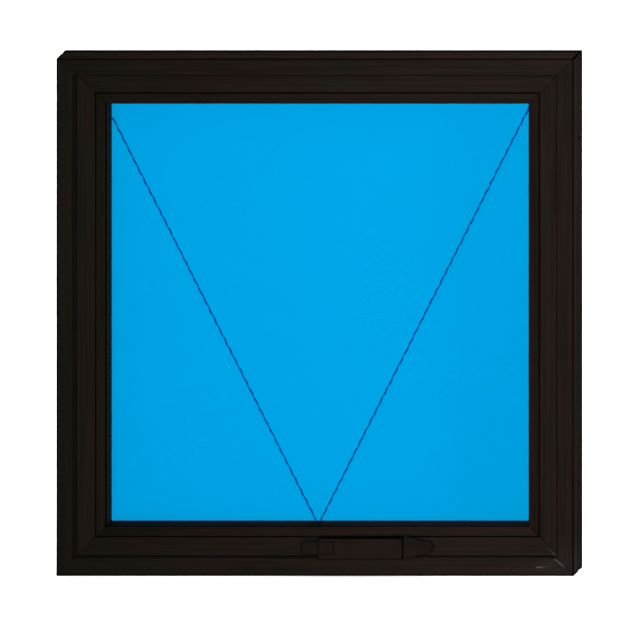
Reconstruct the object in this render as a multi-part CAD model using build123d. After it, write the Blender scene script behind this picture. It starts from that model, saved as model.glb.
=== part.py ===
from build123d import *

import os

# Top-hung plastic ventilator window, closed, seen from the room side.
# X runs along the sill to the right, Y from the room to the outside, Z up.
# The origin lies on the underside of the sill, at mid width and mid frame depth.

# Whole window
window_width = 900.0
window_height = 900.0
frame_depth = 60.0

# Wall of the hollow profiles, and the small rounding of their long edges
profile_wall = 2.8
bead_wall = 1.8
arris_radius = 1.2

# Outer frame profile: insets are measured from the outer edge of the window
frame_face = 30.0
frame_body = 14.0
upstand_thickness = 13.0
frame_web_depth = 22.0

# Shallow fixing channel in the outer edge of the frame
channel_start = 33.0
channel_width = 13.0
channel_depth = 0.6

# Sash profile: the cavity lies between the frame body and the sash edge
seal_gap = 4.5
cavity = 8.0
sash_face = 34.0
sash_depth = 62.5
flange_cover = 6.0
outside_seal_gap = 2.5
glazing_cover = 19.0
lip_thickness = 16.0
sash_web_depth = 22.0
outer_lip_chamfer = 4.0

# Glass and the rubber strips that hold it
glass_thickness = 6.0
glass_edge_clearance = 5.0
bead_gasket_thickness = 3.0
outer_gasket_thickness = 3.0
gasket_height = 7.0
bead_gasket_setback = 0.6
outer_gasket_proud = 0.6

# Glazing bead and its clip foot
foot_offset = 7.0
foot_width = 4.0
foot_height = 3.0
foot_clearance = 0.2

# Rubber seals between the frame and the sash
frame_seal_height = 5.0
frame_seal_setback = 0.6
sash_seal_height = 3.5
sash_seal_setback = 1.0

# Fixing holes through both jambs
fixing_hole_radius = 5.0
fixing_hole_spacing = 600.0

# Handle on the bottom sash rail
handle_offset = 9.0
handle_height = 53.0
rosette_width = 57.0
rosette_height = 22.0
handle_standoff = 19.0
lever_thickness = 13.0
lever_length = 147.0
lever_height = 37.0
lever_drop = 2.4
lever_rounding = 2.5
lever_clearance = 0.3
cap_thickness = 1.0
nose_length = 49.0
nose_shoulder_rise = 2.0
nose_back_length = 35.0
nose_tip_height = 21.0
nose_thinning = 3.0
nose_chamfer = 1.5

# Places that follow from the sizes above; depths are measured from the room face of the frame
room_face = -frame_depth / 2
sash_front = upstand_thickness + seal_gap
sash_back = sash_front + sash_depth
sash_edge = frame_body + cavity
platform = frame_face + sash_face
opening_edge = platform + glazing_cover
flange_front = frame_depth + outside_seal_gap
flange_edge = frame_body - flange_cover
lip_front = sash_back - lip_thickness
glass_back = lip_front - outer_gasket_thickness
glass_front = glass_back - glass_thickness
bead_back = glass_front - bead_gasket_thickness
channel_end = channel_start + channel_width

side_turns = {"bottom": 0, "left": 90, "top": 180, "right": -90}


# A flat profile in the Y-Z plane, from points given as depth and inset
def section(points):
    corners = [(room_face + depth, inset) for depth, inset in points]
    return Plane.YZ * Polygon(*corners, align=None)


# The same profile with a chamber inside, divided by upright webs
def hollow(outline, wall, web_depths=()):
    chamber = offset(outline, amount=-wall, kind=Kind.INTERSECTION)
    for depth in web_depths:
        web = Plane.YZ * Pos(room_face + depth, 0) * Rectangle(wall, 2 * window_height)
        chamber = chamber - web
    return outline - chamber


# Rounds the named corners of a profile
def soften(profile, corners, radius=arris_radius):
    picked = []
    for depth, inset in corners:
        place = Vector(0, room_face + depth, inset)
        picked.append(min(profile.vertices(), key=lambda corner: (Vector(corner) - place).length))
    return fillet(picked, radius)


# A bar along X with its outer edge on Z = 0 and both ends cut at 45 degrees
def mitred_bar(profile, run):
    reach = profile.bounding_box().max.Z
    half = run / 2
    wedge = Plane.XZ * Polygon((-half, 0), (half, 0), (half - reach, reach), (reach - half, reach), align=None)
    return extrude(profile, half, both=True) & extrude(wedge, 2 * frame_depth, both=True)


# Length of one side of the window, and the size across it
def side_sizes(side):
    if side in ("bottom", "top"):
        return window_width, window_height
    return window_height, window_width


# Turns a bar made for the bottom to its own side of the window
def set_on_side(bar, side):
    run, span = side_sizes(side)
    return Pos(0, 0, window_height / 2) * Rot(0, side_turns[side], 0) * Pos(0, 0, -span / 2) * bar


def side_bar(profile, side):
    run, span = side_sizes(side)
    return set_on_side(mitred_bar(profile, run), side)


def frame_profile():
    outline = section([
        (0, 0),
        (channel_start, 0),
        (channel_start, channel_depth),
        (channel_end, channel_depth),
        (channel_end, 0),
        (frame_depth, 0),
        (frame_depth, frame_body),
        (upstand_thickness, frame_body),
        (upstand_thickness, frame_face),
        (0, frame_face),
    ])
    profile = hollow(outline, profile_wall, [frame_web_depth])
    return soften(profile, [(0, 0), (0, frame_face), (frame_depth, 0), (upstand_thickness, frame_face)])


def sash_profile():
    foot_start = sash_front + foot_offset
    foot_end = foot_start + foot_width
    outline = section([
        (sash_front, sash_edge),
        (sash_front, platform),
        (lip_front, platform),
        (lip_front, opening_edge),
        (sash_back - outer_lip_chamfer, opening_edge),
        (sash_back, opening_edge - outer_lip_chamfer),
        (sash_back, flange_edge),
        (flange_front, flange_edge),
        (flange_front, sash_edge),
    ])
    profile = hollow(outline, profile_wall, [sash_front + sash_web_depth])
    groove = section([
        (foot_start, platform - foot_height),
        (foot_end, platform - foot_height),
        (foot_end, platform),
        (foot_start, platform),
    ])
    trough = offset(groove, amount=profile_wall, kind=Kind.INTERSECTION) & outline
    profile = profile + trough - groove
    rounded = [(sash_front, platform), (sash_front, sash_edge), (sash_back, flange_edge), (flange_front, flange_edge)]
    return soften(profile, rounded)


def bead_profile():
    foot_start = sash_front + foot_offset + foot_clearance
    foot_end = sash_front + foot_offset + foot_width - foot_clearance
    foot_tip = platform - foot_height + foot_clearance
    outline = section([
        (sash_front, platform),
        (sash_front, opening_edge),
        (bead_back, opening_edge),
        (bead_back, platform),
    ])
    foot = section([
        (foot_start, foot_tip),
        (foot_end, foot_tip),
        (foot_end, platform + bead_wall),
        (foot_start, platform + bead_wall),
    ])
    profile = hollow(outline, bead_wall) + foot
    return soften(profile, [(sash_front, platform), (sash_front, opening_edge), (bead_back, opening_edge)])


# A rubber strip between two depths, from one inset to the next
def strip_profile(front, back, low, high):
    return section([(front, low), (back, low), (back, high), (front, high)])


def frame_seal_profile():
    top = frame_face - frame_seal_setback
    return strip_profile(upstand_thickness, sash_front, top - frame_seal_height, top)


def sash_seal_profile():
    low = flange_edge + sash_seal_setback
    return strip_profile(frame_depth, flange_front, low, low + sash_seal_height)


def bead_gasket_profile():
    top = opening_edge - bead_gasket_setback
    return strip_profile(bead_back, glass_front, top - gasket_height, top)


def outer_gasket_profile():
    top = opening_edge + outer_gasket_proud
    return strip_profile(glass_back, lip_front, top - gasket_height, top)


# Two holes in line up the jamb, through the floor of the fixing channel
def drill_fixings(jamb, side):
    hole = Rot(0, 90, 0) * Cylinder(fixing_hole_radius, 3 * frame_face)
    edge = window_width / 2 if side == "right" else -window_width / 2
    depth = room_face + channel_start + channel_width / 2
    for shift in (-fixing_hole_spacing / 2, fixing_hole_spacing / 2):
        jamb = jamb - Pos(edge, depth, window_height / 2 + shift) * hole
    return jamb


def glass_pane():
    edge = platform + glass_edge_clearance
    pane = Box(window_width - 2 * edge, glass_thickness, window_height - 2 * edge)
    return Pos(0, room_face + glass_front + glass_thickness / 2, window_height / 2) * pane


# A block on the handle, placed by its left end, its room face and its back, centred on the spindle's height
def handle_block(left, right, front, back, height):
    block = Box(right - left, back - front, height)
    return Pos(handle_offset + (left + right) / 2, (front + back) / 2, handle_height) * block


rail_face = room_face + sash_front
lever_back = rail_face - handle_standoff
lever_front = lever_back - lever_thickness
cap_front = lever_front - cap_thickness


# Base on the rail; its left half comes forward beside the end of the lever
def handle_rosette():
    half = rosette_width / 2
    base = handle_block(-half, half, lever_back, rail_face, rosette_height)
    head = handle_block(-half, -lever_clearance, cap_front, lever_back, rosette_height)
    return base + head


def handle_lever():
    bar = Pos(0, 0, -lever_drop) * handle_block(0, lever_length, lever_front, lever_back, lever_height)
    long_edges = bar.edges().filter_by(Axis.X)
    return fillet(long_edges, lever_rounding)


# Cover over the spindle, on the room face of the lever
def handle_spindle_cap():
    return handle_block(0, rosette_width / 2, cap_front, lever_front, rosette_height)


# Tapered thumb grip at the free end of the lever
def handle_nose():
    half = lever_height / 2
    top = (0, half + nose_shoulder_rise)
    bottom = (0, -half)
    tip = (nose_length, 0)
    upper = (nose_back_length, nose_tip_height / 2)
    lower = (nose_back_length, -nose_tip_height / 2)
    shape = make_face([
        Line(bottom, lower),
        ThreePointArc(lower, tip, upper),
        Line(upper, top),
        Line(top, bottom),
    ])
    thickness = lever_thickness - nose_thinning
    grip = extrude(Plane.XZ * shape, thickness / 2, both=True)
    outline = grip.faces().sort_by(Axis.Y)[0].edges().sort_by(Axis.X)[1:]
    grip = chamfer(outline, nose_chamfer)
    middle = lever_back - thickness / 2
    return Pos(handle_offset + lever_length, middle, handle_height - lever_drop) * grip


def ring_of(profile, names):
    return {name: side_bar(profile, side) for side, name in names.items()}


def window():
    pieces = ring_of(frame_profile(), {
        "bottom": "frame_sill",
        "left": "frame_jamb_left",
        "top": "frame_head",
        "right": "frame_jamb_right",
    })
    pieces["frame_jamb_left"] = drill_fixings(pieces["frame_jamb_left"], "left")
    pieces["frame_jamb_right"] = drill_fixings(pieces["frame_jamb_right"], "right")
    pieces |= ring_of(sash_profile(), {
        "bottom": "sash_bottom_rail",
        "left": "sash_stile_left",
        "top": "sash_top_rail",
        "right": "sash_stile_right",
    })
    strips = {
        "glazing_bead": bead_profile(),
        "bead_gasket": bead_gasket_profile(),
        "outer_gasket": outer_gasket_profile(),
        "frame_seal": frame_seal_profile(),
        "sash_seal": sash_seal_profile(),
    }
    for kind, profile in strips.items():
        pieces |= ring_of(profile, {side: f"{kind}_{side}" for side in side_turns})
    pieces["glass_pane"] = glass_pane()
    pieces["handle_rosette"] = handle_rosette()
    pieces["handle_lever"] = handle_lever()
    pieces["handle_spindle_cap"] = handle_spindle_cap()
    pieces["handle_nose"] = handle_nose()
    return pieces


os.makedirs("parts", exist_ok=True)
for name, piece in window().items():
    export_step(piece, f"parts/{name}.step")
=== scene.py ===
import math

import bpy
from mathutils import Matrix, Vector


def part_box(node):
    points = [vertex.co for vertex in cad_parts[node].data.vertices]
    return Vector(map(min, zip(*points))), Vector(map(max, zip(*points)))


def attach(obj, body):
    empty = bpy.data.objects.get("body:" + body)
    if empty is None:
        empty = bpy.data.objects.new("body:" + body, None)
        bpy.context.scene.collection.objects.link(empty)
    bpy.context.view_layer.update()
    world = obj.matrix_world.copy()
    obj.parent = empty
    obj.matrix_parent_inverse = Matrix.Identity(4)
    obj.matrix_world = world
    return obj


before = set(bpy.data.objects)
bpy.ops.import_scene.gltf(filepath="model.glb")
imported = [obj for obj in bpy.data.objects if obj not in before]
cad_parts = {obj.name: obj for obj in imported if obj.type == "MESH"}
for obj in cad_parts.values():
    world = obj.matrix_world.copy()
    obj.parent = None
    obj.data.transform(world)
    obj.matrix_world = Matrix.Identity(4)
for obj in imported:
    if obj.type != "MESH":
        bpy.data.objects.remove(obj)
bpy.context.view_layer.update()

print("frame loaded:", len(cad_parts), "pieces")

# Sizes of the window, read from the pieces themselves
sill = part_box("frame_sill")
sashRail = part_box("sash_bottom_rail")
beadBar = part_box("glazing_bead_bottom")
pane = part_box("glass_pane")
halfWidth = (sill[1].x - sill[0].x) / 2
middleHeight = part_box("frame_head")[1].z / 2
roomFace = sill[0].y
frameInset = sill[1].z
sashFace = sashRail[0].y
outsideFace = sashRail[1].y
beadEdge = beadBar[1].z
footDepth = 0.0028               # how deep the bead's foot sits in the rail
railEdge = beadBar[0].z + footDepth
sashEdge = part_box("sash_stile_left")[0].x + halfWidth
channelEdge = roomFace + 0.033   # where the fixing channel begins on the frame's outer edge


# Small helper for building shader graphs
class Graph:
    def __init__(self, tree):
        self.tree = tree

    def add(self, kind, inputs=None, **settings):
        node = self.tree.nodes.new(kind)
        for name, value in settings.items():
            setattr(node, name, value)
        for name, value in (inputs or {}).items():
            self.feed(node.inputs[name], value)
        return node

    # a socket, a node's first output or a plain value goes into the input
    def feed(self, socket, value):
        if isinstance(value, bpy.types.Node):
            value = value.outputs[0]
        if isinstance(value, bpy.types.NodeSocket):
            self.tree.links.new(value, socket)
        else:
            socket.default_value = value

    def math(self, operation, a, b=0.0, clamp=False):
        return self.add("ShaderNodeMath", {0: a, 1: b}, operation=operation, use_clamp=clamp)

    def vector(self, operation, a, b=(0.0, 0.0, 0.0)):
        return self.add("ShaderNodeVectorMath", {0: a, 1: b}, operation=operation)

    def remap(self, value, low, high, start=0.0, end=1.0, smooth=True):
        kind = "SMOOTHSTEP" if smooth else "LINEAR"
        inputs = {"Value": value, "From Min": low, "From Max": high, "To Min": start, "To Max": end}
        return self.add("ShaderNodeMapRange", inputs, interpolation_type=kind)

    def mixColour(self, factor, a, b):
        node = self.add("ShaderNodeMix", data_type="RGBA")
        self.feed(node.inputs[0], factor)
        self.feed(node.inputs[6], a)
        self.feed(node.inputs[7], b)
        return node.outputs[2]

    def noise(self, vector, scale, detail=3.0, roughness=0.5, distortion=0.0):
        inputs = {"Vector": vector, "Scale": scale, "Detail": detail}
        inputs |= {"Roughness": roughness, "Distortion": distortion}
        return self.add("ShaderNodeTexNoise", inputs).outputs["Fac"]


# A node group with named sockets; each entry is name, socket kind, default
def newGroup(name, inputs, outputs):
    group = bpy.data.node_groups.new(name, "ShaderNodeTree")
    for label, kind, value in inputs:
        socket = group.interface.new_socket(label, in_out="INPUT", socket_type=kind)
        if value is not None:
            socket.default_value = value
    for label, kind in outputs:
        group.interface.new_socket(label, in_out="OUTPUT", socket_type=kind)
    graph = Graph(group)
    return graph, graph.add("NodeGroupInput"), graph.add("NodeGroupOutput")


def place(graph, group, **values):
    node = graph.add("ShaderNodeGroup", node_tree=group)
    for name, value in values.items():
        graph.feed(node.inputs[name], value)
    return node


# How pores and colour bands are stretched against the streaks, and the noise range of each mask
grainShape = {
    "poreStretch": (7.0, 5.0, 5.0),
    "bandStretch": (2.2, 0.35, 0.35),
    "streakRange": (0.32, 0.68),
    "poreRange": (0.56, 0.74),
    "bandRange": (0.35, 0.65),
}


# Long streaks and short pores along the local X of the vector
def makeWoodGrain():
    graph, start, end = newGroup("woodGrain", [
        ("Vector", "NodeSocketVector", None),
        ("Streak Length", "NodeSocketFloat", 3.0),
        ("Streak Width", "NodeSocketFloat", 90.0),
    ], [("Streaks", "NodeSocketFloat"), ("Pores", "NodeSocketFloat"), ("Bands", "NodeSocketFloat")])
    across = start.outputs["Streak Width"]
    along = start.outputs["Streak Length"]
    vector = start.outputs["Vector"]
    broad = graph.add("ShaderNodeCombineXYZ", {"X": along, "Y": across, "Z": across})
    fine = graph.vector("MULTIPLY", broad, grainShape["poreStretch"])
    wide = graph.vector("MULTIPLY", broad, grainShape["bandStretch"])
    streaks = graph.noise(graph.vector("MULTIPLY", vector, broad), 1.0, 5.0, 0.62, 0.35)
    pores = graph.noise(graph.vector("MULTIPLY", vector, fine), 1.0, 2.0, 0.5, 0.0)
    bands = graph.noise(graph.vector("MULTIPLY", vector, wide), 1.0, 3.0, 0.55, 0.4)
    graph.feed(end.inputs["Streaks"], graph.remap(streaks, *grainShape["streakRange"]))
    graph.feed(end.inputs["Pores"], graph.remap(pores, *grainShape["poreRange"]))
    graph.feed(end.inputs["Bands"], graph.remap(bands, *grainShape["bandRange"]))
    return graph.tree


# Inset from the window's outer edge, and how near a point is to the mitre lines and the corners
def makeWindowInset():
    graph, start, end = newGroup("windowInset", [
        ("Position", "NodeSocketVector", None),
        ("Half Width", "NodeSocketFloat", halfWidth),
        ("Half Height", "NodeSocketFloat", middleHeight),
    ], [
        ("Section", "NodeSocketVector"),
        ("Mitre Distance", "NodeSocketFloat"),
        ("Corner Distance", "NodeSocketFloat"),
    ])
    parts = graph.add("ShaderNodeSeparateXYZ", {"Vector": start.outputs["Position"]})
    aside = graph.math("ABSOLUTE", parts.outputs["X"])
    fromMiddle = graph.math("SUBTRACT", parts.outputs["Z"], start.outputs["Half Height"])
    sideInset = graph.math("SUBTRACT", start.outputs["Half Width"], aside)
    topInset = graph.math("SUBTRACT", start.outputs["Half Height"], graph.math("ABSOLUTE", fromMiddle))
    inset = graph.math("MINIMUM", sideInset, topInset)
    gap = graph.math("ABSOLUTE", graph.math("SUBTRACT", sideInset, topInset))
    section = graph.add("ShaderNodeCombineXYZ", {"X": inset, "Y": parts.outputs["Y"], "Z": 0.0})
    pair = graph.add("ShaderNodeCombineXYZ", {"X": sideInset, "Y": topInset, "Z": 0.0})
    corner = graph.vector("LENGTH", pair).outputs["Value"]
    graph.feed(end.inputs["Section"], section)
    graph.feed(end.inputs["Mitre Distance"], gap)
    graph.feed(end.inputs["Corner Distance"], corner)
    return graph.tree


# The long edges of the profiles: inset, depth and the width of the dark line along each; in the joints and
# the reveals this line is painted shade
arrises = {
    "Frame Outer Room": (0.0, roomFace, 0.0028),
    "Frame Channel": (0.0, channelEdge, 0.0002),
    "Frame Outer Outside": (0.0, -roomFace, 0.0060),
    "Frame Inner Room": (frameInset, roomFace, 0.0018),
    "Sash Meets Frame": (frameInset, sashFace, 0.0018),
    "Sash Meets Bead": (railEdge, sashFace, 0.0016),
    "Bead Inner Room": (beadEdge, sashFace, 0.0019),
    "Bead Meets Glass": (beadEdge, pane[0].y, 0.0030),
    "Sash Outer Outside": (sashEdge, outsideFace, 0.0020),
}

# Lines that are wider or thinner on one side of the window; the wider lines on the left bead and where the
# bottom bead meets the glass are painted shade in the reveals
sideLinesAndShade = {
    "left": {"Frame Outer Room": 0.0042, "Bead Inner Room": 0.0030},
    "right": {"Frame Outer Outside": 0.0140, "Frame Channel": 0.0028},
    "top": {"Frame Outer Outside": 0.0180},
    "bottom": {"Frame Outer Room": 0.0042, "Frame Inner Room": 0.0002, "Bead Meets Glass": 0.0090},
}

lineCore = 0.6   # share of a line's width that is fully dark


# Dark line along the long edges, from the section coordinates: painted shade in the joints and the reveals,
# a dark outline on the outer edges
def makeEdgeLinesAndShade():
    graph, start, end = newGroup("edgeLinesAndShade", [
        ("Section", "NodeSocketVector", None),
        ("Corner Distance", "NodeSocketFloat", 1.0),
        ("Corner Width", "NodeSocketFloat", 0.002),
        *[(edge, "NodeSocketFloat", width) for edge, (inset, depth, width) in arrises.items()],
    ], [("Line", "NodeSocketFloat")])
    nearest = graph.math("DIVIDE", start.outputs["Corner Distance"], start.outputs["Corner Width"])
    for edge, (inset, depth, width) in arrises.items():
        span = graph.vector("DISTANCE", start.outputs["Section"], (inset, depth, 0.0)).outputs["Value"]
        nearest = graph.math("MINIMUM", nearest, graph.math("DIVIDE", span, start.outputs[edge]))
    graph.feed(end.inputs["Line"], graph.remap(nearest, lineCore, 1.0, 1.0, 0.0))
    return graph.tree


# A streak starts narrow, reaches its full width at a share of its length, and noise breaks it up
scuffShape = {
    "narrowStart": 0.35,
    "fullAt": 0.35,
    "core": 0.3,
    "breakScale": 420.0,
    "breakRange": (0.35, 0.55),
}


# One rubbed streak between two points of the face
def makeScuff():
    graph, start, end = newGroup("scuffStreak", [
        ("Position", "NodeSocketVector", None),
        ("Start", "NodeSocketVector", (0.0, 0.0, 0.0)),
        ("End", "NodeSocketVector", (1.0, 0.0, 0.0)),
        ("Width", "NodeSocketFloat", 0.002),
    ], [("Mask", "NodeSocketFloat")])
    position = start.outputs["Position"]
    offset = graph.vector("SUBTRACT", position, start.outputs["Start"])
    run = graph.vector("SUBTRACT", start.outputs["End"], start.outputs["Start"])
    dot = graph.vector("DOT_PRODUCT", offset, run).outputs["Value"]
    square = graph.vector("DOT_PRODUCT", run, run).outputs["Value"]
    share = graph.math("DIVIDE", dot, square, clamp=True)
    foot = graph.add("ShaderNodeVectorMath", {0: run, "Scale": share}, operation="SCALE")
    away = graph.vector("DISTANCE", offset, foot).outputs["Value"]
    growth = graph.remap(share, 0.0, scuffShape["fullAt"], scuffShape["narrowStart"], 1.0)
    width = graph.math("MULTIPLY", start.outputs["Width"], growth)
    body = graph.remap(away, graph.math("MULTIPLY", width, scuffShape["core"]), width, 1.0, 0.0)
    broken = graph.remap(graph.noise(position, scuffShape["breakScale"]), *scuffShape["breakRange"])
    graph.feed(end.inputs["Mask"], graph.math("MULTIPLY", body, broken))
    return graph.tree


# Fine moulded or sprayed texture, with a cloud that is fifty times as large
def makeOrangePeel():
    graph, start, end = newGroup("orangePeel", [
        ("Vector", "NodeSocketVector", None),
        ("Size", "NodeSocketFloat", 0.0012),
    ], [("Height", "NodeSocketFloat"), ("Cloud", "NodeSocketFloat")])
    scale = graph.math("DIVIDE", 1.0, start.outputs["Size"])
    graph.feed(end.inputs["Height"], graph.noise(start.outputs["Vector"], scale, 2.0))
    cloud = graph.noise(start.outputs["Vector"], graph.math("DIVIDE", scale, 50.0))
    graph.feed(end.inputs["Cloud"], graph.remap(cloud, 0.3, 0.7))
    return graph.tree


# Dark outline of a rectangle seen from the room, from its low and high corners
def makePlateOutline():
    graph, start, end = newGroup("plateOutline", [
        ("Position", "NodeSocketVector", None),
        ("Low", "NodeSocketVector", (0.0, 0.0, 0.0)),
        ("High", "NodeSocketVector", (1.0, 1.0, 1.0)),
        ("Line Width", "NodeSocketFloat", 0.001),
    ], [("Line", "NodeSocketFloat")])
    position = start.outputs["Position"]
    fromLow = graph.vector("SUBTRACT", position, start.outputs["Low"])
    fromHigh = graph.vector("SUBTRACT", start.outputs["High"], position)
    spans = graph.add("ShaderNodeSeparateXYZ", {"Vector": graph.vector("MINIMUM", fromLow, fromHigh)})
    nearest = graph.math("ABSOLUTE", graph.math("MINIMUM", spans.outputs["X"], spans.outputs["Z"]))
    width = start.outputs["Line Width"]
    line = graph.remap(nearest, graph.math("MULTIPLY", width, 0.5), width, 1.0, 0.0)
    graph.feed(end.inputs["Line"], line)
    return graph.tree


woodGrain = makeWoodGrain()
windowInset = makeWindowInset()
edgeLinesAndShade = makeEdgeLinesAndShade()
scuffStreak = makeScuff()
orangePeel = makeOrangePeel()
plateOutline = makePlateOutline()
print("shader groups ready")


def newMaterial(name):
    material = bpy.data.materials.new(name)
    material.use_nodes = True
    material.node_tree.nodes.clear()
    graph = Graph(material.node_tree)
    shader = graph.add("ShaderNodeBsdfPrincipled")
    out = graph.add("ShaderNodeOutputMaterial")
    graph.feed(out.inputs["Surface"], shader)
    return material, graph, shader


foil = {
    "dark": (0.0058, 0.0038, 0.0030, 1.0),
    "light": (0.0142, 0.0088, 0.0070, 1.0),
    "red": (0.0140, 0.0070, 0.0061, 1.0),
    "olive": (0.0086, 0.0078, 0.0046, 1.0),
    "hueShare": 0.55,
    "streakLength": 4.0,
    "streakWidth": 170.0,
    "poreShade": (0.0040, 0.0028, 0.0022, 1.0),
    "poreShare": 0.45,
    "poreDepth": 0.00008,
    "reliefStrength": 0.8,
    # painted light: the left of the window is painted darker and the right lighter, as if lit from the right
    "leftTone": (0.78, 0.88, 0.80),
    "rightTone": (1.06, 1.03, 1.04),
    "lineShade": (0.0014, 0.0009, 0.0008, 1.0),
    "cornerWidth": 0.0042,
    "seamCore": 0.0005,
    "seamWidth": 0.0014,
    "seamDepth": 3.0,
    "seamWear": 55.0,
    "seamWearRange": (0.38, 0.58),
    "wornSeam": 0.25,        # what is left of a seam where it is worn away
    "rubbed": (0.085, 0.080, 0.072, 1.0),
    "worn": (0.0190, 0.0160, 0.0135, 1.0),
    "wornCorner": (halfWidth - 0.02, roomFace, 0.0),
    "wornReach": (0.02, 0.085),
    "wornShare": 0.8,
    "roughness": (0.52, 0.68),
    "specular": 0.03,
    "beadSpecular": 0.010,   # the bead mirrors less of the blue pane
}

# Rubbed places at the bottom right corner: start, end, width and strength, each wider towards its end
scuffs = {
    "alongSill": ((0.4010, roomFace, 0.0162), (0.3852, roomFace, 0.0150), 0.0016, 1.0),
    "sillTail": ((0.4200, roomFace, 0.0176), (0.4000, roomFace, 0.0160), 0.0008, 0.5),
    "onFrame": ((0.4150, roomFace, 0.0325), (0.4335, roomFace, 0.0160), 0.0017, 0.85),
    "onSash": ((0.4030, sashFace, 0.0420), (0.4155, sashFace, 0.0300), 0.0026, 0.4),
}

# Each kind of bar: how much lighter its foil is painted, painted light that lifts the sash and the bead out
# of the shade of the recess, how dark the mitre seams are, and where its grain starts
barFoilAndPaintedLight = {
    "frame": (0.99, 0.6, (0.0, 0.0, 0.0)),
    "sash": (1.22, 0.95, (0.71, 0.35, 0.13)),
    "glazing_bead": (1.17, 0.9, (1.93, 0.62, 0.47)),
}

# Painted light along a level bar: how light it is painted at its left end and at its right end
paintedLightAlongBars = {
    "frame": {"top": (0.87, 1.13), "bottom": (0.97, 1.36)},
    "sash": {"top": (0.83, 1.06), "bottom": (0.87, 1.20)},
    "glazing_bead": {"top": (0.90, 1.16), "bottom": (0.68, 1.46)},
}


# The grain runs along the bar
def barGrain(graph, coordinates, kind, side):
    turn = (0.0, math.pi / 2, 0.0) if side in ("left", "right") else (0.0, 0.0, 0.0)
    mapping = {"Vector": coordinates, "Rotation": turn, "Location": barFoilAndPaintedLight[kind][2]}
    turned = graph.add("ShaderNodeMapping", mapping)
    return place(graph, woodGrain, Vector=turned, **{
        "Streak Length": foil["streakLength"], "Streak Width": foil["streakWidth"]})


# Streaks, red and olive bands, and pores
def grainColour(graph, grain):
    colour = graph.mixColour(grain.outputs["Streaks"], foil["dark"], foil["light"])
    hue = graph.mixColour(grain.outputs["Bands"], foil["olive"], foil["red"])
    colour = graph.mixColour(foil["hueShare"], colour, hue)
    pores = graph.math("MULTIPLY", grain.outputs["Pores"], foil["poreShare"])
    return graph.mixColour(pores, colour, foil["poreShade"])


# Painted light: the foil is painted darker to the left and lighter to the right, as if lit from the right
def paintLightAcross(graph, coordinates, colour, kind, side):
    paintedLightness = barFoilAndPaintedLight[kind][0]
    leftFade, rightFade = paintedLightAlongBars[kind].get(side, (1.0, 1.0))
    leftTone = [paintedLightness * leftFade * value for value in foil["leftTone"]]
    rightTone = [paintedLightness * rightFade * value for value in foil["rightTone"]]
    across = graph.add("ShaderNodeSeparateXYZ", {"Vector": coordinates}).outputs["X"]
    share = graph.remap(across, -halfWidth, halfWidth, smooth=False)
    paintedTone = graph.mixColour(share, (*leftTone, 1.0), (*rightTone, 1.0))
    return graph.vector("MULTIPLY", colour, paintedTone)


# Greyed foil around the bottom right corner
def wearCorner(graph, coordinates, grain, colour):
    away = graph.vector("DISTANCE", coordinates, foil["wornCorner"]).outputs["Value"]
    worn = graph.remap(away, *foil["wornReach"], foil["wornShare"], 0.0)
    return graph.mixColour(graph.math("MULTIPLY", worn, grain.outputs["Streaks"]), colour, foil["worn"])


def mitreSeam(graph, coordinates, inset, strength):
    seam = graph.remap(inset.outputs["Mitre Distance"], foil["seamCore"], foil["seamWidth"], 1.0, 0.0)
    wear = graph.noise(coordinates, foil["seamWear"], 2.0)
    wear = graph.remap(wear, *foil["seamWearRange"], foil["wornSeam"], strength)
    return graph.math("MULTIPLY", seam, wear)


def rubbedMask(graph, coordinates):
    rubbed = 0.0
    for begin, stop, width, strength in scuffs.values():
        streak = place(graph, scuffStreak, Position=coordinates, Start=begin, End=stop, Width=width)
        rubbed = graph.math("MAXIMUM", rubbed, graph.math("MULTIPLY", streak, strength))
    return rubbed


# Wood-grain foil of one bar
def makeFoil(kind, side):
    material, graph, shader = newMaterial(f"{kind}_{side}_foil")
    coordinates = graph.add("ShaderNodeTexCoord").outputs["Object"]
    grain = barGrain(graph, coordinates, kind, side)
    inset = place(graph, windowInset, Position=coordinates)
    lines = place(graph, edgeLinesAndShade, Section=inset.outputs["Section"], **{
        "Corner Distance": inset.outputs["Corner Distance"],
        "Corner Width": foil["cornerWidth"],
        **sideLinesAndShade[side],
    })
    # painted light: darker to the left, lighter to the right, and lighter on the sash and the bead
    colour = paintLightAcross(graph, coordinates, grainColour(graph, grain), kind, side)
    colour = wearCorner(graph, coordinates, grain, colour)
    # dark edge lines: painted shade in the joints and the reveals, dark outlines on the outer edges
    colour = graph.mixColour(lines.outputs["Line"], colour, foil["lineShade"])
    seam = mitreSeam(graph, coordinates, inset, barFoilAndPaintedLight[kind][1])
    colour = graph.mixColour(seam, colour, foil["lineShade"])
    colour = graph.mixColour(rubbedMask(graph, coordinates), colour, foil["rubbed"])
    graph.feed(shader.inputs["Base Color"], colour)
    low, high = foil["roughness"]
    graph.feed(shader.inputs["Roughness"], graph.remap(grain.outputs["Streaks"], 0.0, 1.0, high, low))
    specular = foil["beadSpecular"] if kind == "glazing_bead" else foil["specular"]
    shader.inputs["Specular IOR Level"].default_value = specular
    relief = graph.math("SUBTRACT", grain.outputs["Streaks"], grain.outputs["Pores"])
    relief = graph.math("SUBTRACT", relief, graph.math("MULTIPLY", seam, foil["seamDepth"]))
    bump = {"Height": relief, "Distance": foil["poreDepth"], "Strength": foil["reliefStrength"]}
    graph.feed(shader.inputs["Normal"], graph.add("ShaderNodeBump", bump))
    return material


rubber = {
    "colour": (0.004, 0.004, 0.004, 1.0),
    "dust": (0.012, 0.012, 0.011, 1.0),
    "dustShare": 0.6,
    "roughness": (0.62, 0.80),
    "specular": 0.2,
    "grainSize": 0.0006,
    "grainDepth": 0.00004,
}


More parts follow.
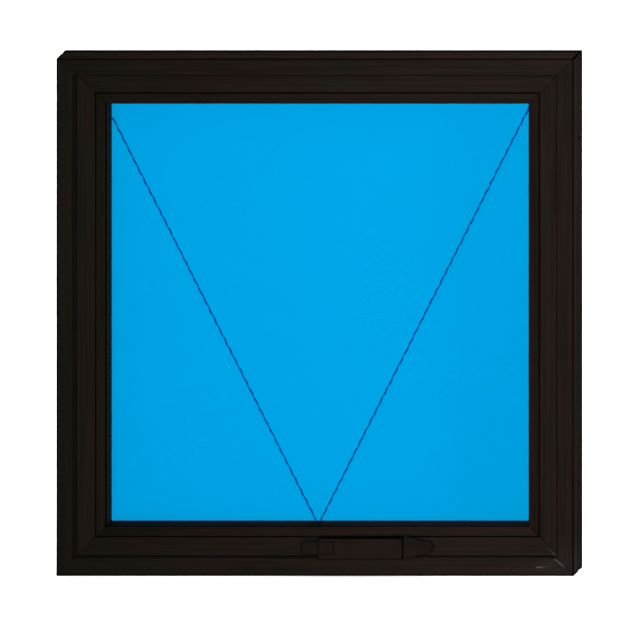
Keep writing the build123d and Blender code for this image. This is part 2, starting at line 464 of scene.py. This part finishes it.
def makeRubber():
    material, graph, shader = newMaterial("sealRubber")
    coordinates = graph.add("ShaderNodeTexCoord").outputs["Object"]
    skin = place(graph, orangePeel, Vector=coordinates, Size=rubber["grainSize"])
    dust = graph.math("MULTIPLY", skin.outputs["Cloud"], rubber["dustShare"])
    graph.feed(shader.inputs["Base Color"], graph.mixColour(dust, rubber["colour"], rubber["dust"]))
    roughness = graph.remap(skin.outputs["Cloud"], 0.0, 1.0, *rubber["roughness"])
    graph.feed(shader.inputs["Roughness"], roughness)
    shader.inputs["Specular IOR Level"].default_value = rubber["specular"]
    bump = {"Height": skin.outputs["Height"], "Distance": rubber["grainDepth"]}
    graph.feed(shader.inputs["Normal"], graph.add("ShaderNodeBump", bump))
    return material


glass = {
    "tint": (0.0, 0.394, 0.812, 1.0),
    "deepTint": (0.0, 0.384, 0.798, 1.0),
    "cloudScale": 2.2,
    "roughness": (0.02, 0.06),
    "smearStretch": (3.0, 3.0, 14.0),
    "transmission": 0.15,
    "specular": 0.25,
    "waveScale": 9.0,
    "waviness": 0.00001,
}


def makeGlass():
    material, graph, shader = newMaterial("azureGlass")
    coordinates = graph.add("ShaderNodeTexCoord").outputs["Object"]
    cloud = graph.noise(coordinates, glass["cloudScale"], 2.0)
    graph.feed(shader.inputs["Base Color"], graph.mixColour(cloud, glass["tint"], glass["deepTint"]))
    smear = graph.noise(graph.vector("MULTIPLY", coordinates, glass["smearStretch"]), 1.0)
    graph.feed(shader.inputs["Roughness"], graph.remap(smear, 0.3, 0.7, *glass["roughness"]))
    shader.inputs["Transmission Weight"].default_value = glass["transmission"]
    shader.inputs["Specular IOR Level"].default_value = glass["specular"]
    wave = graph.noise(coordinates, glass["waveScale"], 1.0)
    bump = {"Height": wave, "Distance": glass["waviness"]}
    graph.feed(shader.inputs["Normal"], graph.add("ShaderNodeBump", bump))
    return material


coating = {
    "colour": (0.0150, 0.0088, 0.0074, 1.0),
    "shade": (0.0096, 0.0074, 0.0056, 1.0),
    "edge": (0.0010, 0.0008, 0.0007, 1.0),
    "lineWidth": 0.0016,
    "roomSide": (-0.8, -0.4),   # how far a face may turn away from the room and still show its outline
    "roughness": (0.42, 0.54),
    "specular": 0.004,
    "peelSize": 0.0011,
    "peelDepth": 0.00003,
}


# Powder coat of one handle part, with a dark line along its outline; on the lever the dark covers its flanks
# too, painted shade on its top side
def makeCoating(name):
    material, graph, shader = newMaterial("powderCoat_" + name)
    shape = graph.add("ShaderNodeTexCoord")
    coordinates = shape.outputs["Object"]
    skin = place(graph, orangePeel, Vector=coordinates, Size=coating["peelSize"])
    colour = graph.mixColour(skin.outputs["Cloud"], coating["shade"], coating["colour"])
    low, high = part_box(name)
    outline = place(graph, plateOutline, Position=coordinates, Low=low, High=high, **{
        "Line Width": coating["lineWidth"]})
    line = outline.outputs["Line"]
    # on the lever the outline darkens every flank: painted shade
    if name != "handle_lever":
        facing = graph.add("ShaderNodeSeparateXYZ", {"Vector": shape.outputs["Normal"]}).outputs["Y"]
        line = graph.math("MULTIPLY", line, graph.remap(facing, *coating["roomSide"], 1.0, 0.0))
    graph.feed(shader.inputs["Base Color"], graph.mixColour(line, colour, coating["edge"]))
    roughness = graph.remap(skin.outputs["Cloud"], 0.0, 1.0, *coating["roughness"])
    graph.feed(shader.inputs["Roughness"], roughness)
    shader.inputs["Specular IOR Level"].default_value = coating["specular"]
    bump = {"Height": skin.outputs["Height"], "Distance": coating["peelDepth"]}
    graph.feed(shader.inputs["Normal"], graph.add("ShaderNodeBump", bump))
    return material


ink = {
    "thick": (0.0, 0.038, 0.210, 1.0),
    "thin": (0.0, 0.068, 0.375, 1.0),
    "tip": (0.0005, 0.0008, 0.0012, 1.0),
    "tipStart": (beadEdge + 0.0004, beadEdge + 0.0007),
    "blotScale": 900.0,
    "roughness": (0.5, 0.7),
    "specular": 0.01,
}


# Blue on the glass, nearly black where the tip lies on the bead
def makeInk():
    material, graph, shader = newMaterial("symbolInk")
    coordinates = graph.add("ShaderNodeTexCoord").outputs["Object"]
    blot = graph.noise(coordinates, ink["blotScale"], 2.0)
    colour = graph.mixColour(blot, ink["thick"], ink["thin"])
    height = graph.add("ShaderNodeSeparateXYZ", {"Vector": coordinates}).outputs["Z"]
    onBead = graph.remap(height, *ink["tipStart"], 1.0, 0.0)
    graph.feed(shader.inputs["Base Color"], graph.mixColour(onBead, colour, ink["tip"]))
    graph.feed(shader.inputs["Roughness"], graph.remap(blot, 0.3, 0.7, *ink["roughness"]))
    shader.inputs["Specular IOR Level"].default_value = ink["specular"]
    return material


def dress(name, material):
    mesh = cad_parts[name].data
    mesh.materials.clear()
    mesh.materials.append(material)


# The foiled bars, by kind and side
bars = {
    "frame": {
        "left": "frame_jamb_left", "right": "frame_jamb_right",
        "top": "frame_head", "bottom": "frame_sill",
    },
    "sash": {
        "left": "sash_stile_left", "right": "sash_stile_right",
        "top": "sash_top_rail", "bottom": "sash_bottom_rail",
    },
    "glazing_bead": {side: "glazing_bead_" + side for side in ("left", "right", "top", "bottom")},
}


def dressWindow():
    for kind, sides in bars.items():
        for side, name in sides.items():
            dress(name, makeFoil(kind, side))
    sealRubber = makeRubber()
    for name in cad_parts:
        if "seal" in name or "gasket" in name:
            dress(name, sealRubber)
        elif name.startswith("handle_"):
            dress(name, makeCoating(name))
    dress("glass_pane", makeGlass())
    print("profiles, rubber, glass and handle dressed")


dressWindow()


symbol = {
    "middleShift": -0.0082,   # the drawn V stands a little left of the pane's middle
    "apexHeight": 0.0750,     # where both legs would meet, behind the bottom bead
    "rise": 1.980,            # metres up for each metre across
    "dashWidth": 0.0032,
    "gapWidth": 0.0019,
    "dash": 0.0130,
    "gap": 0.0065,
    "wobble": 0.0005,
    "wobbleLength": 0.021,
    "step": 0.0015,
    "proud": 0.00015,
    "edgeGap": 0.0008,
    "tipShift": 0.0013,       # where the tip ends, on the room edge of the bottom bead
    "tipWidth": 0.0027,
}

symbolFace = pane[0].y - symbol["proud"]
symbolReach = math.hypot(1.0, symbol["rise"])   # length of a leg for each metre across


# One dashed leg on the glass, to the left (-1) or the right (1): its pairs of edge points
def symbolLeg(direction):
    slope = symbol["rise"]
    low = beadEdge + symbol["edgeGap"]
    meet = Vector((symbol["middleShift"], symbolFace, symbol["apexHeight"]))
    along = Vector((direction / symbolReach, 0.0, slope / symbolReach))
    across = Vector((slope / symbolReach, 0.0, -direction / symbolReach))
    first = (low - symbol["apexHeight"]) * symbolReach / slope
    atSide = (halfWidth - low - direction * symbol["middleShift"]) * symbolReach
    atTop = (2 * middleHeight - low - symbol["apexHeight"]) * symbolReach / slope
    last = min(atSide, atTop)
    steps = int((last - first) / symbol["step"])
    period = symbol["dash"] + symbol["gap"]
    pairs = []
    for number in range(steps + 1):
        distance = first + (last - first) * number / steps
        dashed = (distance % period) < symbol["dash"]
        width = symbol["dashWidth"] if dashed else symbol["gapWidth"]
        wave = math.sin(distance / symbol["wobbleLength"] * 2 * math.pi) * symbol["wobble"]
        middle = meet + along * distance + across * wave
        pairs.append((middle - across * (width / 2), middle + across * (width / 2)))
    return pairs


# The end of one leg, which goes on over the top of the bottom bead
def symbolTip(direction):
    height = beadEdge + symbol["proud"]
    legEnd = symbol["middleShift"] + direction * (beadEdge - symbol["apexHeight"]) / symbol["rise"]
    heel = Vector((legEnd, symbolFace - symbol["edgeGap"], height))
    tip = Vector((symbol["tipShift"], sashFace + 2 * symbol["edgeGap"], height))
    sideways = Vector((symbol["tipWidth"] / 2, 0.0, 0.0))
    return [(heel - sideways, heel + sideways), (tip - sideways, tip + sideways)]


# Thin flat ribbons, closed all round; each run has its pairs of edge points and its thickness
def ribbonMesh(name, runs):
    vertices = []
    faces = []
    for pairs, thickness in runs:
        corner = len(vertices)
        for left, right in pairs:
            vertices += [left, right, right + thickness, left + thickness]
        for row in range(len(pairs) - 1):
            here = corner + 4 * row
            for side in range(4):
                ahead = (side + 1) % 4
                faces.append((here + side, here + ahead, here + 4 + ahead, here + 4 + side))
        last = corner + 4 * (len(pairs) - 1)
        faces.append((corner + 3, corner + 2, corner + 1, corner))
        faces.append((last, last + 1, last + 2, last + 3))
    mesh = bpy.data.meshes.new(name)
    mesh.from_pydata(vertices, [], faces)
    mesh.validate()
    return mesh


# Dashed V on the room face of the pane, which shows the way the sash opens
def makeSymbol():
    intoGlass = Vector((0.0, symbol["proud"], 0.0))
    intoBead = Vector((0.0, 0.0, -symbol["proud"]))
    runs = [(symbolLeg(direction), intoGlass) for direction in (-1, 1)]
    runs += [(symbolTip(direction), intoBead) for direction in (-1, 1)]
    mesh = ribbonMesh("opening_symbol", runs)
    mesh.materials.append(makeInk())
    lines = bpy.data.objects.new("opening_symbol", mesh)
    bpy.context.collection.objects.link(lines)
    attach(lines, "root")
    print("opening symbol:", len(mesh.polygons), "faces")


makeSymbol()


# The lamps of the studio; those that aren't aimed at the window point straight down
lamps = {
    "frontBox": {"power": 168.0, "size": (1.2, 1.2), "spot": (0.8, -4.2, 0.9), "aimed": True},
    "ceilingPanel": {"power": 78.0, "size": (5.0, 6.0), "spot": (-0.3, 2.4, 3.6), "glossy": False},
    "topPanel": {"power": 32.0, "size": (1.6, 1.6), "spot": (0.2, 0.0, 2.6), "glossy": False},
    "backBox": {"power": 70.0, "size": (2.0, 2.0), "spot": (-0.8, 4.0, 1.6), "aimed": True, "glossy": False},
    "sidePanel": {"power": 82.0, "size": (1.0, 2.0), "spot": (2.3, -0.1, 0.8), "aimed": True,
                  "colour": (0.92, 1.0, 1.10), "glossy": False},
    # behind the room face, so that it reaches only the left side
    "leftPanel": {"power": 60.0, "size": (1.0, 2.0), "spot": (-2.3, 0.7, 0.8), "aimed": True,
                  "glossy": False},
    "floorLamp": {"power": 540.0, "size": (9.0, 9.0), "spot": (0.0, 0.0, 5.0)},
}


def areaLamp(name):
    lamp = lamps[name]
    data = bpy.data.lights.new(name, "AREA")
    data.shape = "RECTANGLE"
    data.size, data.size_y = lamp["size"]
    data.energy = lamp["power"]
    data.color = lamp.get("colour", (1.0, 1.0, 1.0))
    light = bpy.data.objects.new(name, data)
    bpy.context.collection.objects.link(light)
    spot = Vector(lamp["spot"])
    target = Vector((0.0, 0.0, middleHeight)) if lamp.get("aimed") else Vector((spot.x, spot.y, 0.0))
    light.location = spot
    light.rotation_euler = (target - spot).to_track_quat("-Z", "Y").to_euler()
    light.visible_camera = False
    light.visible_glossy = lamp.get("glossy", True)
    return light


# A light that falls on a few pieces only, and that only some pieces shade
def lightOnly(light, lit, shading):
    for role, pieces in (("receiver_collection", lit), ("blocker_collection", shading)):
        chosen = bpy.data.collections.new(light.name + role.title())
        for piece in pieces:
            chosen.objects.link(piece)
        setattr(light.light_linking, role, chosen)


studioFloor = {
    "side": 9.0,
    "drop": 0.0005,
    "pale": (0.93, 0.93, 0.93, 1.0),
    "speck": (0.95, 0.95, 0.95, 1.0),
    "speckScale": 60.0,
    "roughness": 0.9,
}


def makeFloor():
    half = studioFloor["side"] / 2
    corners = [(-half, -half, 0), (half, -half, 0), (half, half, 0), (-half, half, 0)]
    mesh = bpy.data.meshes.new("studioFloor")
    mesh.from_pydata(corners, [], [(0, 1, 2, 3)])
    floor = bpy.data.objects.new("studioFloor", mesh)
    bpy.context.collection.objects.link(floor)
    material, graph, shader = newMaterial("paleFloor")
    coordinates = graph.add("ShaderNodeTexCoord").outputs["Object"]
    speck = graph.noise(coordinates, studioFloor["speckScale"], 2.0)
    colour = graph.mixColour(speck, studioFloor["pale"], studioFloor["speck"])
    graph.feed(shader.inputs["Base Color"], colour)
    shader.inputs["Roughness"].default_value = studioFloor["roughness"]
    shader.inputs["Specular IOR Level"].default_value = 0.0
    mesh.materials.append(material)
    floor.location.z = -studioFloor["drop"]
    floor.visible_glossy = False
    floor.visible_diffuse = False
    # the floor has a lamp of its own, so that it stays white without washing out the window
    lightOnly(areaLamp("floorLamp"), [floor], [floor])


sky = {"light": 0.16, "seen": 1.0}


# White to the camera, weak as a light
def makeSky():
    world = bpy.data.worlds.new("softSky")
    bpy.context.scene.world = world
    world.use_nodes = True
    world.node_tree.nodes.clear()
    graph = Graph(world.node_tree)
    rays = graph.add("ShaderNodeLightPath").outputs["Is Camera Ray"]
    strength = graph.remap(rays, 0.0, 1.0, sky["light"], sky["seen"], smooth=False)
    glow = graph.add("ShaderNodeBackground", {"Color": (1.0, 1.0, 1.0, 1.0), "Strength": strength})
    graph.feed(graph.add("ShaderNodeOutputWorld").inputs["Surface"], glow)
    world.cycles_visibility.glossy = False


def makeStudio():
    bpy.context.scene.view_settings.view_transform = "Standard"
    bpy.context.scene.view_settings.look = "None"
    makeSky()
    areaLamp("frontBox")
    areaLamp("ceilingPanel")
    # the top panel reaches the ledge of the sill and the handle too, which lie under the head
    lit = [*bars["frame"].values(), "handle_rosette", "handle_lever", "handle_spindle_cap"]
    lightOnly(areaLamp("topPanel"), [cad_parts[name] for name in lit], [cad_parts["frame_sill"]])
    for name in ("backBox", "sidePanel", "leftPanel"):
        areaLamp(name)
    makeFloor()
    print("studio ready")


makeStudio()


# Parallel camera seen square on, with depth running up and to the right
photo = {
    "side": 640,
    "frameMiddle": (314.85, 317.45),
    "framePixels": 517.3,
    "depthShiftPixels": 9.0,
    "distance": 4.0,
    "clipEnd": 50.0,
}


def makeCamera():
    metresPerPixel = 2 * halfWidth / photo["framePixels"]
    slant = photo["depthShiftPixels"] * metresPerPixel / (-2 * roomFace)
    centre = photo["side"] / 2
    across = (centre - photo["frameMiddle"][0]) * metresPerPixel
    up = middleHeight - (centre - photo["frameMiddle"][1]) * metresPerPixel
    data = bpy.data.cameras.new("roomCamera")
    data.type = "ORTHO"
    data.ortho_scale = photo["side"] * metresPerPixel
    data.clip_end = photo["clipEnd"]
    camera = bpy.data.objects.new("roomCamera", data)
    bpy.context.collection.objects.link(camera)
    holder = bpy.data.objects.new("cameraHolder", None)
    bpy.context.collection.objects.link(holder)
    camera.location = (across + slant * roomFace, -photo["distance"], up + slant * roomFace)
    camera.rotation_euler = (math.pi / 2, 0.0, 0.0)
    camera.parent = holder
    camera.matrix_parent_inverse = Matrix((
        (1.0, -slant, 0.0, 0.0),
        (0.0, 1.0, 0.0, 0.0),
        (0.0, -slant, 1.0, 0.0),
        (0.0, 0.0, 0.0, 1.0),
    ))
    bpy.context.scene.camera = camera
    print("camera ready, slant", round(slant, 3))


makeCamera()
